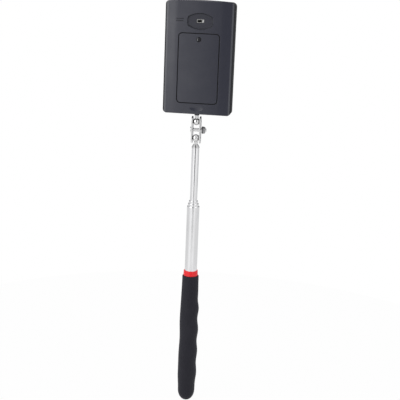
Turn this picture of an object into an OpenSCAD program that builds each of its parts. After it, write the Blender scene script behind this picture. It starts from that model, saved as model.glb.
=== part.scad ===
// Telescoping lighted inspection mirror.
// The shaft runs up +Z from the butt of the grip, which is the origin.
// The battery door faces -Y and the mirror faces +Y.

/* [Grip] */
// Length of the soft grip
grip_length = 103.5; // [90:0.5:125]
// Radius of the grip between the finger swells
grip_radius = 7.15; // [6.6:0.05:8]
// How much slimmer the grip is at its upper end
grip_taper = 0.85; // [0:0.05:1.2]
// How much slimmer the grip is at its butt
grip_butt = 0.6; // [0:0.05:1]
// Height of the domed butt
grip_dome = 9; // [5:0.5:14]
// Rubber left under the outer tube
grip_floor = 10; // [6:0.5:20]
// Number of finger swells on the right side
finger_count = 4; // [2:1:5]
// Distance from one swell to the next
finger_pitch = 17.8; // [14:0.1:19]
// Distance from the upper end down to the first swell
finger_first = 26.7; // [18:0.1:32]
// Height of a swell over the hollow beside it
finger_depth = 1; // [0:0.05:1.4]
// Depth of the palm's hollow in the left side
palm_hollow = 0.45; // [0:0.05:0.8]
// Height of the hollow's middle above the butt
palm_z = 52.5; // [45:0.5:60]
// Half length of the hollow
palm_half = 15; // [10:0.5:20]

/* [Collar] */
// Height of the red collar
collar_height = 4.1; // [3:0.1:9]
// Wall of the collar
collar_wall = 0.9; // [0.7:0.05:1.6]
// How much slimmer the collar is at its top
collar_cone = 0.25; // [0:0.05:0.4]

/* [Tubes] */
// Outside diameter of the outer tube
outer_tube_d = 9.4; // [8.6:0.1:10.4]
// Wall of every tube
tube_wall = 0.42; // [0.3:0.02:0.5]
// Radial room between a tube and the next one inside it
tube_room = 0.23; // [0.14:0.01:0.3]
// Radial clearance of a sliding fit
slide_clearance = 0.05; // [0.02:0.01:0.08]
// Outer tube that shows above the collar
outer_exposed = 50.5; // [30:0.1:90]
// Height from one tube's rim to the next
rim_step = 2.15; // [1.4:0.05:6]
// Innermost tube that shows above the third rim
inner_exposed = 40.4; // [25:0.1:80]
// Length of the rolled-in mouth of a tube
mouth_length = 3; // [1.5:0.1:6]
// Length of the brass bush at the foot of a sliding tube
bush_length = 8; // [4:0.5:14]
// Height from one tube's foot to the next
foot_step = 2; // [1:0.1:4]

/* [Swivel] */
// Ball diameter
ball_d = 5.4; // [5.2:0.1:6.4]
// Distance between the two ball centres
ball_spacing = 12.2; // [11.4:0.1:18]
// Diameter of the ball necks
neck_d = 2.7; // [2.2:0.05:3]
// From the ferrule's tip to the lower ball's centre
lower_neck = 4.7; // [4.6:0.1:9]
// From the upper ball's centre to the head's stub
upper_neck = 4.7; // [4.4:0.1:9]
// Gap between the clamp plates
plate_gap = 5; // [4.6:0.05:5.1]
// Thickness of a clamp plate
plate_t = 0.95; // [0.6:0.05:1.4]
// Length of a clamp plate past each ball's centre
plate_over = 4; // [3.5:0.1:4.3]
// Width of a clamp plate
plate_width = 5.6; // [5.4:0.1:8]
// Clearance between a ball and its dimple
ball_clearance = 0.05; // [0.02:0.01:0.1]
// Diameter of the clamp screw
clamp_screw_d = 2.5; // [2:0.1:3]
// Head diameter of the clamp screw
clamp_head_d = 4.4; // [3.6:0.1:5]
// Head height of the clamp screw
clamp_head_h = 0.9; // [0.6:0.1:1.6]
// Thickness of the washer under the nut
washer_t = 0.9; // [0.4:0.05:1]
// Diameter of the washer
washer_d = 3.6; // [3.2:0.1:4.4]
// Diameter of the knurled nut
nut_d = 5.4; // [4.8:0.1:6]
// Length of the knurled nut
nut_length = 2.4; // [2.2:0.1:5]
// Thickness of the nut's plain flange
nut_flange = 0.8; // [0.5:0.1:1.2]
// Number of grooves round the nut
nut_grooves = 16; // [10:1:18]
// Screw that shows past the nut
screw_tip = 0.7; // [0.2:0.1:1]
// Height of the ferrule's flange
ferrule_flange = 0.8; // [0.5:0.1:2]
// Height of the ferrule's cone
ferrule_cone = 2; // [1.5:0.1:4]
// Depth of the ferrule's plug in the tube
ferrule_plug = 8; // [5:0.5:14]
// Thickness of the retaining clips
clip_t = 0.5; // [0.4:0.05:0.8]

/* [Head] */
// Width of the head
head_width = 50.8; // [44:0.1:60]
// Height of the head at its middle
head_height = 82.1; // [80:0.1:92]
// How much the top edge rises from its ends to its middle
head_arch = 1; // [0:0.1:2]
// Corner radius of the head's outline
head_corner = 3.2; // [2.2:0.1:6]
// Side wall of the shells
shell_wall = 1.6; // [1.2:0.1:2.2]
// Thickness of the back wall
back_wall = 2.2; // [2:0.1:3]
// Half width of the nearly flat middle of the back
flat_half = 17; // [16:0.1:20]
// Half width of the soft bend at each crease of the back
crease_soft = 1.6; // [0.6:0.1:2.4]
// How far the middle of the back stands above its creases
back_crown = 0.35; // [0.1:0.05:0.5]
// How far the long sides lie below the middle of the back
side_drop = 1.35; // [0.8:0.05:1.5]
// Rounding of the shells' outer edges
edge_radius = 1.4; // [0.6:0.1:1.8]
// Bevel of the parting line
parting_bevel = 0.25; // [0.1:0.05:0.5]
// From the shaft's axis to the middle of the back
axis_to_back = 4.3; // [4.1:0.1:5]
// Height of the stub under the head
stub_height = 1.1; // [0.8:0.1:4]
// Wall of the stub
stub_wall = 0.35; // [0.3:0.05:1.2]
// Depth of the upper stud inside the head
stud_depth = 5.4; // [5:0.1:5.8]
// Half width of the scoop over the stub
scoop_half_w = 5; // [3:0.1:8]
// Half height of the scoop
scoop_half_h = 2.2; // [1:0.1:2.4]
// Depth of the scoop
scoop_depth = 0.4; // [0.1:0.05:0.8]
// From the head's lower edge to the middle of the scoop
scoop_up = 4.5; // [4:0.1:5.4]

/* [Battery door] */
// Width of the door
door_width = 29.2; // [28.5:0.1:32]
// Height of the door
door_height = 49.8; // [49.5:0.1:53]
// Thickness of the door
door_t = 1.2; // [1:0.05:1.4]
// Corner radius of the door
door_corner = 2.3; // [1.2:0.1:4]
// Gap round the door
door_gap = 0.65; // [0.2:0.05:0.8]
// From the head's lower edge to the door
door_up = 8.5; // [8:0.1:9]
// From the door's upper edge to its screw
door_screw_in = 4; // [3.4:0.1:4.4]
// Diameter of the door screw
door_screw_d = 2; // [1.6:0.1:2.2]
// Head diameter of the door screw
door_head_d = 3.2; // [2.8:0.1:3.6]
// Length of the door screw under its head
door_screw_length = 4.5; // [3.5:0.1:5]

/* [Cells] */
// Thickness of a coin cell
cell_t = 3.2; // [2.5:0.1:3.4]
// Room round each cell
cell_room = 0.3; // [0.2:0.05:0.4]
// Thickness of the contact strips
strip_t = 0.25; // [0.2:0.01:0.3]
// Wall and floor of the battery tray
tray_wall = 1.2; // [1:0.1:1.4]

/* [Switch] */
// Half width of the oval well
well_half_w = 9.6; // [8:0.1:10]
// Half height of the oval well
well_half_h = 6; // [5:0.1:6.4]
// Radius of the well's upper and lower rims
well_rim = 17; // [13:0.5:24]
// Depth of the oval well
well_depth = 1.2; // [0.6:0.1:1.4]
// How far the well's wall slopes in
well_slope = 0.8; // [0.2:0.1:1.4]
// From the head's top to the middle of the well
well_down = 14.9; // [14:0.1:15.5]
// From the head's middle to the middle of the well
well_side = 0.4; // [0:0.1:1]
// From the well's middle up to the switch
switch_up = 0.2; // [0:0.1:0.8]
// Width of the window that shows the switch
window_w = 5.5; // [5.2:0.1:6.5]
// Height of the window
window_h = 2.6; // [2.4:0.1:3.5]
// Width of the switch's metal can
can_w = 8.6; // [7.6:0.1:10]
// Height of the can, across the slide
can_h = 3.7; // [3.5:0.1:5]
// Depth of the can
can_t = 2.2; // [2:0.1:2.4]
// Width of the sliding knob
knob_w = 2.9; // [1.8:0.1:3]
// Height of the sliding knob
knob_h = 1.5; // [1.2:0.1:1.8]
// Travel of the knob
knob_travel = 1.2; // [0.8:0.1:1.6]
// Width of the two marks cut beside the well
bar_w = 5.4; // [3:0.1:5.4]
// Distance between the two marks
bar_pitch = 1.5; // [1:0.1:2]

/* [Mirror and lamps] */
// Frame left at the sides and foot of the mirror
frame_w = 3.4; // [2.8:0.1:5]
// Height of the lamp panel above the mirror
lamp_panel = 20; // [19:0.1:23]
// Thickness of the glass
mirror_t = 2; // [1.6:0.1:2.4]
// How far the frame's lip covers the glass
lip_cover = 1; // [0.6:0.1:1.2]
// Thickness of that lip
lip_t = 1.3; // [1:0.1:2]
// Thickness of the foam pad behind the glass
pad_t = 1; // [0.6:0.1:1.4]
// Diameter of a lamp
led_d = 5; // [4:0.1:5.4]
// From the head's side to a lamp's middle
led_side = 10; // [8.5:0.1:12]
// Clearance of the lamps in their holes
led_clearance = 0.08; // [0.05:0.01:0.15]
// Thickness of the circuit board
board_t = 1; // [0.8:0.1:1.2]

/* [Hidden] */
$fn = 48;
touch = 0.02;
over = 1;

// Heights along the shaft
collar_top = grip_length + collar_height;
outer_top = collar_top + outer_exposed;
second_top = outer_top + rim_step;
third_top = second_top + rim_step;
inner_top = third_top + inner_exposed;
ferrule_top = inner_top + ferrule_flange + ferrule_cone;
lower_ball_z = ferrule_top + lower_neck;
upper_ball_z = lower_ball_z + ball_spacing;
clamp_z = (lower_ball_z + upper_ball_z) / 2;
stub_z = upper_ball_z + upper_neck;
head_z = stub_z + stub_height;
second_foot = grip_floor + foot_step;
third_foot = second_foot + foot_step;
inner_foot = third_foot + foot_step;

// Radii of the tubes and the swivel
outer_r = outer_tube_d / 2;
second_r = outer_r - tube_wall - tube_room;
third_r = second_r - tube_wall - tube_room;
inner_r = third_r - tube_wall - tube_room;
neck_r = neck_d / 2;
neck_bore_r = neck_r + slide_clearance;
groove_depth = 0.35;
groove_r = neck_r - groove_depth;
clip_play = 0.1;
clip_r = inner_r - tube_wall - clip_play;
plate_in = plate_gap / 2;
plate_out = plate_in + plate_t;
nut_x = plate_out + washer_t;
clamp_bore_r = clamp_screw_d / 2 + slide_clearance;
dimple_in_r = ball_d / 2 + ball_clearance;
dimple_out_r = dimple_in_r + plate_t;

// Depths through the head, from the back to the front
back_y = -axis_to_back;
crown_slope = 2 * back_crown / flat_half;
side_slope = (side_drop - back_crown) / (head_width / 2 - flat_half);
door_seat_y = back_y + door_t;
wall_in_y = back_y + back_wall;
cell_back_y = wall_in_y + strip_t + touch;
cell_front_y = cell_back_y + cell_t;
tray_floor_y = cell_front_y + strip_t;
parting_y = tray_floor_y + tray_wall;
mirror_back_y = parting_y + pad_t;
mirror_front_y = mirror_back_y + mirror_t;
front_y = mirror_front_y + lip_t;
can_back_y = wall_in_y;
board_back_y = can_back_y + can_t;
board_front_y = board_back_y + board_t;

// Places up the head, measured from its lower edge
door_top = door_up + door_height;
door_screw_z = door_top - door_screw_in;
ledge_side = 1.5;
ledge_low = 1.3;
boss_wall = 1.1;
boss_r = door_screw_d / 2 + boss_wall;
screw_strip = door_screw_in + boss_r + tray_wall + cell_room;
pocket_w = door_width - 2 * ledge_side;
pocket_h = door_height - ledge_low - screw_strip;
pocket_z = door_up + ledge_low;
pocket_top = pocket_z + pocket_h;
cell_d = (pocket_h - 3 * cell_room) / 2;
lower_cell_z = pocket_z + cell_room + cell_d / 2;
upper_cell_z = lower_cell_z + cell_d + cell_room;
well_z = head_height - well_down;
switch_z = well_z + switch_up;
led_x = head_width / 2 - led_side;
board_edge = 0.8;
board_w = 2 * (led_x + led_d / 2 + board_edge);
board_low = 1.15;
board_z = door_top + door_gap + board_low;
board_h = head_height - head_arch - shell_wall - board_edge - board_z;
glass_opening_w = head_width - 2 * frame_w;
glass_opening_h = head_height - frame_w - lamp_panel;
glass_w = glass_opening_w + 2 * lip_cover;
glass_h = glass_opening_h + 2 * lip_cover;
glass_z = frame_w - lip_cover;
led_z = well_z;
clip_up = 3.6;
bore_end = 0.3;
block_w = 10;
block_end = 0.5;
block_h = stud_depth + bore_end + block_end;
tab_w = 4;
tab_side = 8;
tab_reach = 1.2;
tab_t = 0.8;
tab_room = 0.3;
tab_swing = 1;
screw_room = 0.1;
strip_room = 0.05;
strip_up = 4;
arm_half = 3;
bar_x = -flat_half + bar_w / 2;
bar_up = 0.75;
bar_z = well_z + bar_up;
bar_h = 0.65;
bar_deep = 1;
post_d = 3;
post_gap = 0.85;
post_side = pocket_w / 2 + tray_wall + post_gap + post_d / 2;

// Colours
black = [0.16, 0.16, 0.18];
rubber_black = [0.11, 0.11, 0.12];
red = [0.85, 0.12, 0.12];
chrome = [0.82, 0.83, 0.85];
steel = [0.62, 0.63, 0.65];
dark_steel = [0.32, 0.32, 0.34];
brass = [0.78, 0.62, 0.30];
board_green = [0.10, 0.36, 0.20];
clear = [0.90, 0.93, 0.96];
glass_blue = [0.75, 0.82, 0.88];

// Points on an arc from angle a0 to angle a1
function arc(x, y, r, a0, a1, steps = 6) =
  [for (i = [0 : steps]) [x + r * cos(a0 + (a1 - a0) * i / steps), y + r * sin(a0 + (a1 - a0) * i / steps)]];

// A flat shape drawn in X and Z, given a depth from y0 to y1
module prism_y(y0, y1) {
  translate([0, y1, 0]) rotate([90, 0, 0]) linear_extrude(y1 - y0) children();
}

// A flat shape drawn in Y and Z, given a width centred on x = 0
module prism_x(w) {
  translate([-w / 2, 0, 0]) rotate([90, 0, 90]) linear_extrude(w) children();
}

// A box centred in X, from y0 to y1 and from z0 to z1
module box(w, y0, y1, z0, z1, x = 0) {
  translate([x - w / 2, y0, z0]) cube([w, y1 - y0, z1 - z0]);
}

// A rod along Y
module rod_y(r, y0, y1, x, z) {
  translate([x, y0, z]) rotate([-90, 0, 0]) cylinder(r = r, h = y1 - y0);
}

// A rod along X through the clamp
module rod_x(r, x0, x1) {
  translate([x0, 0, clamp_z]) rotate([0, 90, 0]) cylinder(r = r, h = x1 - x0);
}

// A rectangle with round corners that stands on y = 0
module round_rect(w, h, r) {
  polygon(concat(
    arc(w / 2 - r, r, r, -90, 0), arc(w / 2 - r, h - r, r, 0, 90),
    arc(r - w / 2, h - r, r, 90, 180), arc(r - w / 2, r, r, 180, 270)
  ));
}

// Grip: one turned body whose right side swells for the fingers
butt_from = 22;
taper_share = 0.4;
taper_from = grip_length * (1 - taper_share);
dome_power = 2.2;
finger_fade = 0.5;
grip_rings = 54;
grip_sides = 36;
dome_rings = 8;
dome_crowding = 1.6;
function smooth(t) = let (c = min(max(t, 0), 1)) c * c * (3 - 2 * c);
function grip_round(z) =
  grip_radius - grip_taper * smooth((z - taper_from) / (grip_length - taper_from))
    - grip_butt * smooth((butt_from - z) / (butt_from - grip_dome));
function dome_share(z) = z >= grip_dome ? 1 : sqrt(1 - pow(1 - z / grip_dome, dome_power));
function finger_wave(z) =
  let (down = grip_length - z - finger_first, span = (finger_count - 0.5) * finger_pitch)
  let (rise = pow(smooth((down + finger_first) / finger_first), 3))
  let (fall = smooth((span - down) / finger_pitch + 0.5))
  rise * fall * (1 - finger_fade * max(down, 0) / span) * cos(360 * down / finger_pitch) * finger_depth / 2;
function palm_dip(z) = palm_hollow * smooth(1 - abs(z - palm_z) / palm_half);
function grip_r(z, a) =
  let (right = pow((1 + cos(a)) / 2, 2), left = pow((1 - cos(a)) / 2, 2))
  dome_share(z) * (grip_round(z) + right * finger_wave(z) - left * palm_dip(z));
function grip_level(i) =
  i < dome_rings ? grip_dome * pow(i / dome_rings, dome_crowding)
    : grip_dome + (grip_length - grip_dome) * (i - dome_rings) / (grip_rings - dome_rings);

module grip() {
  rings = [for (i = [1 : grip_rings]) grip_level(i)];
  points = concat(
    [[0, 0, 0]],
    [for (z = rings) for (k = [0 : grip_sides - 1]) let (a = 360 * k / grip_sides)
      [grip_r(z, a) * cos(a), grip_r(z, a) * sin(a), z]],
    [[0, 0, grip_length]]
  );
  last = (grip_rings - 1) * grip_sides + 1;
  faces = concat(
    [for (k = [0 : grip_sides - 1]) [0, 1 + k, 1 + (k + 1) % grip_sides]],
    [for (i = [0 : grip_rings - 2]) for (k = [0 : grip_sides - 1])
      let (a = 1 + i * grip_sides, n = (k + 1) % grip_sides)
      [a + k, a + grip_sides + k, a + grip_sides + n]],
    [for (i = [0 : grip_rings - 2]) for (k = [0 : grip_sides - 1])
      let (a = 1 + i * grip_sides, n = (k + 1) % grip_sides)
      [a + k, a + grip_sides + n, a + n]],
    [for (k = [0 : grip_sides - 1]) [last + grip_sides, last + (k + 1) % grip_sides, last + k]]
  );
  color(rubber_black) difference() {
    polyhedron(points, faces);
    translate([0, 0, grip_floor]) cylinder(r = outer_r, h = grip_length);
  }
}

// Collar: a red ring glued round the outer tube on top of the grip
module collar() {
  r = outer_r + collar_wall;
  top_r = r - collar_cone;
  edge = 0.5;
  edge_share = 0.6;
  round = min(edge, (collar_wall - collar_cone) * edge_share);
  color(red) translate([0, 0, grip_length]) rotate_extrude() polygon(concat(
    [[outer_r, 0]], arc(r - round, round, round, -90, 0),
    arc(top_r - round, collar_height - round, round, 0, 90), [[outer_r, collar_height]]
  ));
}

// A tube whose mouth is rolled in to guide the next tube
module telescope_tube(r, foot, top, next_r) {
  bore = r - tube_wall;
  mouth = next_r + slide_clearance;
  roll_share = 0.6;
  roll = tube_wall * roll_share;
  color(chrome) rotate_extrude() polygon(concat(
    [[bore, foot], [r, foot]], arc(r - roll, top - roll, roll, 0, 90, 4),
    [[mouth, top], [mouth, top - mouth_length], [bore, top - mouth_length - tube_room]]
  ));
}

// A thin brass sleeve round the foot of a sliding tube
module bush(r, foot, bore) {
  color(brass) translate([0, 0, foot]) difference() {
    cylinder(r = bore - slide_clearance, h = bush_length);
    translate([0, 0, -over]) cylinder(r = r, h = bush_length + 2 * over);
  }
}

module outer_tube() telescope_tube(outer_r, grip_floor, outer_top, second_r);

module second_tube() telescope_tube(second_r, second_foot, second_top, third_r);

module second_bush() bush(second_r, second_foot, outer_r - tube_wall);

module third_tube() telescope_tube(third_r, third_foot, third_top, inner_r);

module third_bush() bush(third_r, third_foot, second_r - tube_wall);

// Innermost tube: it carries the swivel, so its mouth takes the ferrule's plug
module inner_tube() {
  color(chrome) translate([0, 0, inner_foot]) difference() {
    cylinder(r = inner_r, h = inner_top - inner_foot);
    translate([0, 0, -over]) cylinder(r = inner_r - tube_wall, h = inner_top - inner_foot + 2 * over);
  }
}

module inner_bush() bush(inner_r, inner_foot, third_r - tube_wall);

// Ferrule: a turned plug pressed into the inner tube, bored for the lower stud
module tip_ferrule() {
  plug = inner_r - tube_wall;
  flange_over = 0.15;
  flange = inner_r + flange_over;
  tip_wall = 0.3;
  tip = neck_bore_r + tip_wall;
  color(chrome) rotate_extrude() polygon([
    [neck_bore_r, inner_top - ferrule_plug], [plug, inner_top - ferrule_plug], [plug, inner_top],
    [flange, inner_top], [flange, inner_top + ferrule_flange], [tip, ferrule_top],
    [neck_bore_r, ferrule_top]
  ]);
}

// A ball on a neck that runs from the ball's centre, with a clip groove in its far end
module ball_stud(reach, clip_from) {
  far = clip_from + clip_t + 2 * touch;
  bevel = 0.2;
  color(chrome) {
    sphere(d = ball_d);
    rotate_extrude() polygon([
      [0, 0], [neck_r, 0], [neck_r, clip_from], [groove_r, clip_from], [groove_r, far],
      [neck_r, far], [neck_r, reach - bevel], [neck_r - bevel, reach], [0, reach]
    ]);
  }
}

// An open ring that snaps into a stud's groove
module stud_clip(r) {
  mouth = 1.2;
  color(dark_steel) difference() {
    cylinder(r = r, h = clip_t);
    translate([0, 0, -over]) cylinder(r = groove_r + touch, h = clip_t + 2 * over);
    translate([0, -mouth / 2, -over]) cube([r + over, mouth, clip_t + 2 * over]);
  }
}

lower_clip_from = lower_neck + ferrule_cone + ferrule_flange + ferrule_plug + clip_play;
upper_clip_from = upper_neck + stub_height + clip_up;
clip_end = 1;
clip_wing = 0.85;

module lower_ball_stud() {
  translate([0, 0, lower_ball_z]) mirror([0, 0, 1])
    ball_stud(lower_clip_from + clip_t + clip_end, lower_clip_from);
}

module lower_stud_clip() {
  translate([0, 0, lower_ball_z - lower_clip_from - clip_t - touch]) stud_clip(clip_r);
}

module upper_ball_stud() {
  translate([0, 0, upper_ball_z]) ball_stud(upper_neck + stub_height + stud_depth, upper_clip_from);
}

module upper_stud_clip() {
  translate([0, 0, upper_ball_z + upper_clip_from + touch]) stud_clip(neck_r + clip_wing);
}

// Clamp plate on the +X side: flat, with a dimple pressed out over each ball
module clamp_plate() {
  end_r = plate_width / 2;
  length = ball_spacing + 2 * plate_over;
  color(chrome) difference() {
    union() {
      translate([plate_in, 0, clamp_z - length / 2]) rotate([90, 0, 90]) linear_extrude(plate_t)
        round_rect(plate_width, length, end_r - touch);
      for (z = [lower_ball_z, upper_ball_z]) translate([0, 0, z]) rotate([0, 90, 0]) rotate_extrude()
        intersection() {
          circle(r = dimple_out_r);
          translate([0, plate_in]) square(dimple_out_r);
        }
    }
    for (z = [lower_ball_z, upper_ball_z]) translate([0, 0, z]) rotate([0, 90, 0]) sphere(r = dimple_in_r);
    rod_x(clamp_bore_r, plate_in - over, plate_out + over);
  }
}

module right_clamp_plate() clamp_plate();

module left_clamp_plate() mirror([1, 0, 0]) clamp_plate();

// Clamp screw: a low slotted head on the left, its shank through both plates and the nut
module clamp_screw() {
  head_r = clamp_head_d / 2;
  round = 0.4;
  slot = 0.6;
  slot_deep = 0.4;
  color(steel) difference() {
    union() {
      translate([-plate_out, 0, clamp_z]) rotate([0, -90, 0]) rotate_extrude() polygon(concat(
        [[0, 0], [head_r, 0]], arc(head_r - round, clamp_head_h - round, round, 0, 90, 4), [[0, clamp_head_h]]
      ));
      rod_x(clamp_screw_d / 2, -plate_out, nut_x + nut_length + screw_tip);
    }
    translate([-plate_out - clamp_head_h - over, -head_r - over, clamp_z - slot / 2])
      cube([over + slot_deep, clamp_head_d + 2 * over, slot]);
  }
}

// Washer between the right plate and the nut
module clamp_washer() {
  color(steel) difference() {
    rod_x(washer_d / 2, plate_out, nut_x);
    rod_x(clamp_bore_r, plate_out - over, nut_x + over);
  }
}

// Knurled nut: a plain flange, then a slimmer body with grooves along it and a rounded end
module thumb_nut() {
  r = nut_d / 2;
  flange_over = 0.15;
  body_r = r - flange_over;
  round = 0.9;
  groove = 0.32;
  groove_out = 0.1;
  color(dark_steel) difference() {
    translate([nut_x, 0, clamp_z]) rotate([0, 90, 0]) rotate_extrude() polygon(concat(
      [[clamp_bore_r, 0], [r, 0], [r, nut_flange], [body_r, nut_flange]],
      arc(body_r - round, nut_length - round, round, 0, 90, 4), [[clamp_bore_r, nut_length]]
    ));
    for (k = [0 : nut_grooves - 1]) rotate_about_clamp(360 * k / nut_grooves)
      translate([nut_x + nut_flange, 0, clamp_z + body_r + groove_out]) rotate([0, 90, 0])
        cylinder(r = groove, h = nut_length);
  }
}

// Turns its children about the clamp screw's axis
module rotate_about_clamp(a) {
  translate([0, 0, clamp_z]) rotate([a, 0, 0]) translate([0, 0, -clamp_z]) children();
}

// Outline of the head, standing on y = 0, with its top edge arched
module head_outline(inset = 0) {
  w = head_width / 2 - inset;
  h = head_height - inset;
  r = head_corner - inset;
  steps = 12;
  reach = w - r;
  drop = head_arch * pow(reach / w, 2);
  lean = atan(2 * head_arch * reach / (w * w));
  top = h - drop - r * cos(lean);
  side = w - r;
  polygon(concat(
    arc(side, inset + r, r, -90, 0), arc(side, top, r, 0, 90 - lean),
    [for (i = [1 : steps - 1]) let (x = reach - 2 * reach * i / steps) [x, h - head_arch * pow(x / w, 2)]],
    arc(-side, top, r, 90 + lean, 180), arc(-side, inset + r, r, 180, 270)
  ));
}

// One half of the head: its outline, its cross section and its side view, all kept in common
module head_half(y0, y1) {
  intersection() {
    prism_y(y0, y1) head_outline();
    linear_extrude(head_height) children(0);
    prism_x(head_width) children(1);
  }
}

// How far the back lies below its middle, a distance x to the side
function back_drop(x) =
  let (past = abs(x) - flat_half)
  let (bend = past > crease_soft ? past : pow(max(past + crease_soft, 0), 2) / (4 * crease_soft))
  back_crown * pow(min(abs(x), flat_half) / flat_half, 2) + crown_slope * max(past, 0)
    + (side_slope - crown_slope) * bend;

// The back's outline from one slope to the other, with more points in the bends
function back_curve(bends = 6, steps = 16) =
  let (right = [for (i = [0 : bends - 1]) flat_half + crease_soft * (1 - 2 * i / bends)])
  let (middle = [for (i = [0 : steps]) (flat_half - crease_soft) * (1 - 2 * i / steps)])
  let (left = [for (i = [bends - 1 : -1 : 0]) -right[i]])
  [for (x = concat(right, middle, left)) [x, back_y + back_drop(x)]];

// Back shell's cross section: crowned in the middle, sloping to rounded sides
module back_section() {
  half = head_width / 2;
  side_x = half - edge_radius;
  right = concat(
    [[half - parting_bevel, parting_y], [half, parting_y - parting_bevel]],
    arc(side_x, back_y + back_drop(side_x) + edge_radius, edge_radius, 0, -90)
  );
  polygon(concat(right, back_curve(), [for (i = [len(right) - 1 : -1 : 0]) [-right[i][0], right[i][1]]]));
}

// Back shell from the side: both ends rounded off
module back_profile() {
  polygon(concat(
    [[parting_y, parting_bevel], [parting_y - parting_bevel, 0]],
    arc(back_y + edge_radius, edge_radius, edge_radius, 270, 180),
    arc(back_y + edge_radius, head_height - edge_radius, edge_radius, 180, 90),
    [[parting_y - parting_bevel, head_height], [parting_y, head_height - parting_bevel]]
  ));
}

// Cuts the scoop over the stub: a body turned about an axis that lies outside the head
module scoop_cutter() {
  deep_r = (scoop_half_h * scoop_half_h / scoop_depth + scoop_depth) / 2;
  axis_out = deep_r - scoop_depth;
  long_r = (scoop_half_w * scoop_half_w + scoop_depth * scoop_depth) / (2 * scoop_depth);
  reach = sqrt(long_r * long_r - pow(long_r - deep_r, 2)) - touch;
  translate([0, back_y - axis_out, scoop_up]) rotate([0, 90, 0]) rotate_extrude() intersection() {
    translate([deep_r - long_r, 0]) circle(r = long_r, $fn = 120);
    translate([0, -reach]) square([deep_r + over, 2 * reach]);
  }
}

// A cone that narrows into the back, its middle some way up from the well's
module well_cone(r, up) {
  flare = well_slope * over / well_depth;
  translate([well_side, back_y - over, well_z + up]) rotate([-90, 0, 0])
    cylinder(r1 = r + flare, r2 = r - well_slope, h = well_depth + over);
}

// Cuts the switch's well: what three cones have in common, with a flat floor and a sloping wall
module well_cutter() {
  intersection() {
    well_cone(well_half_w, 0);
    well_cone(well_rim, well_rim - well_half_h);
    well_cone(well_rim, well_half_h - well_rim);
  }
}

// Back shell: the battery tray, the board's posts and the stud block are moulded with it
module back_shell() {
  clip_side = 0.25;
  clip_low = 0.3;
  clip_high = 0.4;
  clip_slot = neck_r + clip_wing + clip_side;
  color(black) translate([0, 0, head_z]) difference() {
    union() {
      difference() {
        head_half(back_y, parting_y) { back_section(); back_profile(); }
        prism_y(wall_in_y, parting_y + over) head_outline(shell_wall);
      }
      box(pocket_w + 2 * tray_wall, wall_in_y - touch, parting_y, pocket_z - tray_wall,
        pocket_top + tray_wall);
      box(block_w, wall_in_y - touch, parting_y, shell_wall - touch, block_h);
      rod_y(boss_r, wall_in_y - touch, parting_y, 0, door_screw_z);
      for (side = [-1, 1])
        rod_y(post_d / 2, wall_in_y - touch, board_back_y, side * post_side, board_z + post_d);
      translate([0, 0, -stub_height]) cylinder(r = neck_bore_r + stub_wall, h = stub_height + shell_wall);
    }
    translate([0, 0, door_up - door_gap]) prism_y(back_y - over, door_seat_y)
      round_rect(door_width + 2 * door_gap, door_height + 2 * door_gap, door_corner + door_gap);
    box(pocket_w, back_y, tray_floor_y, pocket_z, pocket_top);
    for (side = [-1, 1])
      box(tab_w + 2 * tab_room, door_seat_y - touch, door_seat_y + tab_t + tab_swing,
        door_up - tab_reach - tab_swing / 2, pocket_z + touch, side * tab_side);
    for (side = [-1, 1])
      box(strip_t + 6 * strip_room, wall_in_y + touch, board_back_y, pocket_top - touch,
        pocket_top + tray_wall + touch, side * (pocket_w / 2 - strip_t / 2 - strip_room));
    well_cutter();
    scoop_cutter();
    for (side = [-1, 1])
      box(bar_w, back_y - over, back_y + bar_deep, bar_z + side * bar_pitch / 2 - bar_h / 2,
        bar_z + side * bar_pitch / 2 + bar_h / 2, bar_x);
    box(window_w, back_y, can_back_y + over, switch_z - window_h / 2, switch_z + window_h / 2, well_side);
    rod_y(door_screw_d / 2 + screw_room, door_seat_y - over, parting_y - tray_wall, 0, door_screw_z);
    translate([0, 0, -stub_height - over])
      cylinder(r = neck_bore_r, h = stub_height + over + stud_depth + bore_end);
    box(2 * clip_slot, -clip_slot, parting_y + over, clip_up - clip_low, clip_up + clip_t + clip_high);
  }
}

// Front frame's cross section and side view
module bezel_section() {
  half = head_width / 2;
  right = concat(
    [[half - parting_bevel, parting_y], [half, parting_y + parting_bevel]],
    arc(half - edge_radius, front_y - edge_radius, edge_radius, 0, 90)
  );
  polygon(concat(right, [for (i = [len(right) - 1 : -1 : 0]) [-right[i][0], right[i][1]]]));
}

module bezel_profile() {
  polygon(concat(
    [[parting_y, parting_bevel], [parting_y + parting_bevel, 0]],
    arc(front_y - edge_radius, edge_radius, edge_radius, -90, 0),
    arc(front_y - edge_radius, head_height - edge_radius, edge_radius, 0, 90),
    [[parting_y + parting_bevel, head_height], [parting_y, head_height - parting_bevel]]
  ));
}

// Front frame: holds the glass behind its lip and the lamps in the panel above it
module front_bezel() {
  trench_half = led_d / 2 + board_edge;
  color(black) translate([0, 0, head_z]) difference() {
    head_half(parting_y, front_y) { bezel_section(); bezel_profile(); }
    box(glass_w + 2 * slide_clearance, parting_y - over, mirror_front_y, glass_z - slide_clearance,
      glass_z + glass_h + slide_clearance);
    box(glass_opening_w, parting_y, front_y + over, frame_w, frame_w + glass_opening_h);
    box(board_w + over, parting_y - over, mirror_front_y, led_z - trench_half, led_z + trench_half);
    for (side = [-1, 1]) rod_y(led_d / 2 + led_clearance, parting_y, front_y + over, side * led_x, led_z);
  }
}

// Mirror glass behind the lip, and the foam pad that presses it there
module mirror_glass() {
  color(glass_blue) translate([0, 0, head_z])
    box(glass_w, mirror_back_y, mirror_front_y, glass_z, glass_z + glass_h);
}

module mirror_pad() {
  color(rubber_black) translate([0, 0, head_z])
    box(pocket_w, parting_y, mirror_back_y, pocket_z, pocket_top);
}

// Circuit board on two posts, between the switch at its back and the lamps at its front
module circuit_board() {
  color(board_green) translate([0, 0, head_z])
    box(board_w, board_back_y, board_front_y, board_z, board_z + board_h);
}

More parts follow.
